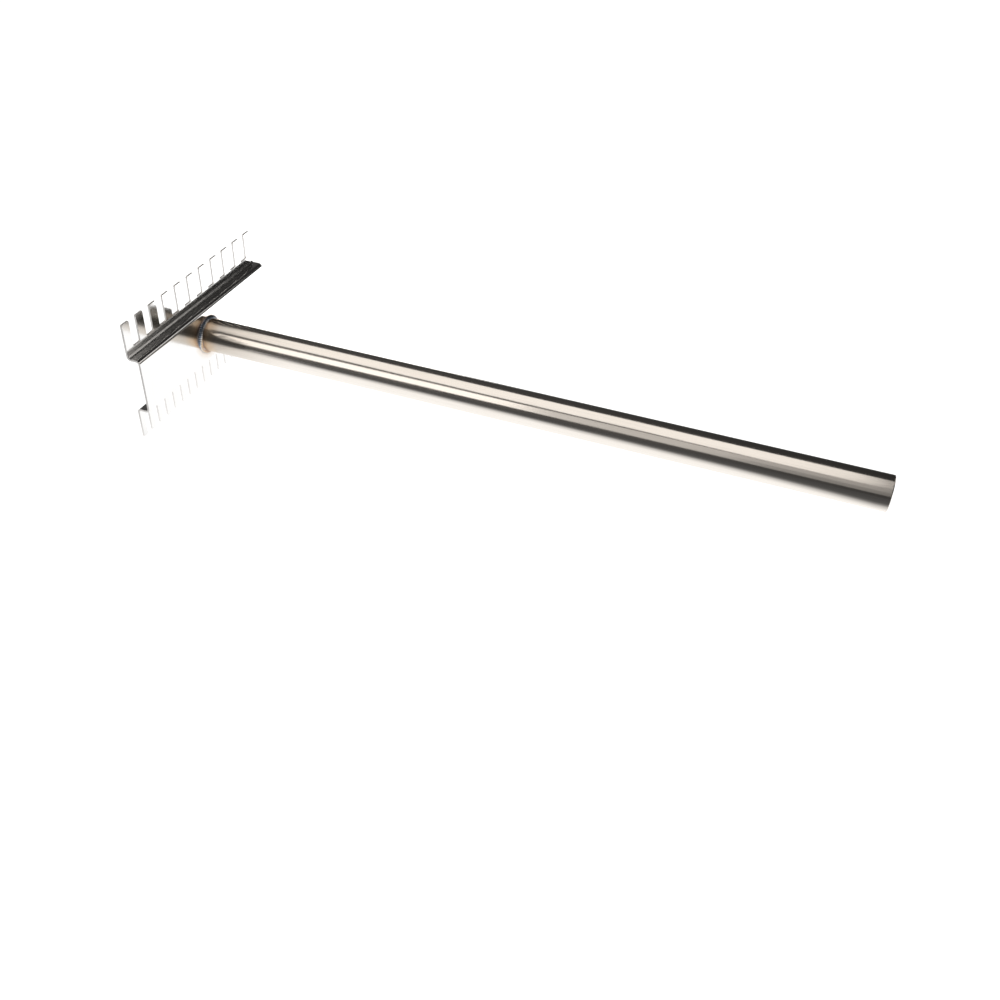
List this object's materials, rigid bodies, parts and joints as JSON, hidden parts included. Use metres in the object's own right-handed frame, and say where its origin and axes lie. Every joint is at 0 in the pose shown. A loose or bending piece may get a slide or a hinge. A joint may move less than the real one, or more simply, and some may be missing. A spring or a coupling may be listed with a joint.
{
  "type": "comb scraper",
  "caption": "Long-handled scraper: a straight round tube handle welded to a bent sheet head, with a row of coarse teeth on one edge and a row of fine teeth on the other.",
  "frame": {"origin": "on the handle's axis at the front face of the head's web, which is the closed end of the handle's bore", "axes": "+X along the handle to its free end, +Y along the combs, +Z towards the coarse teeth"},
  "size_m": [0.5225, 0.168, 0.0935],
  "materials": {
    "head_sheet": "bright polished stainless sheet with sheared edges",
    "handle_tube": "drawn stainless tube, fine lengthwise grain, straw heat tint at the foot",
    "weld_bead": "rippled weld, blue and straw heat tint"
  },
  "bodies": {
    "root": {"comb_head": "head_sheet", "handle_tube": "handle_tube", "handle_weld": "weld_bead"}
  },
  "joints": []
}
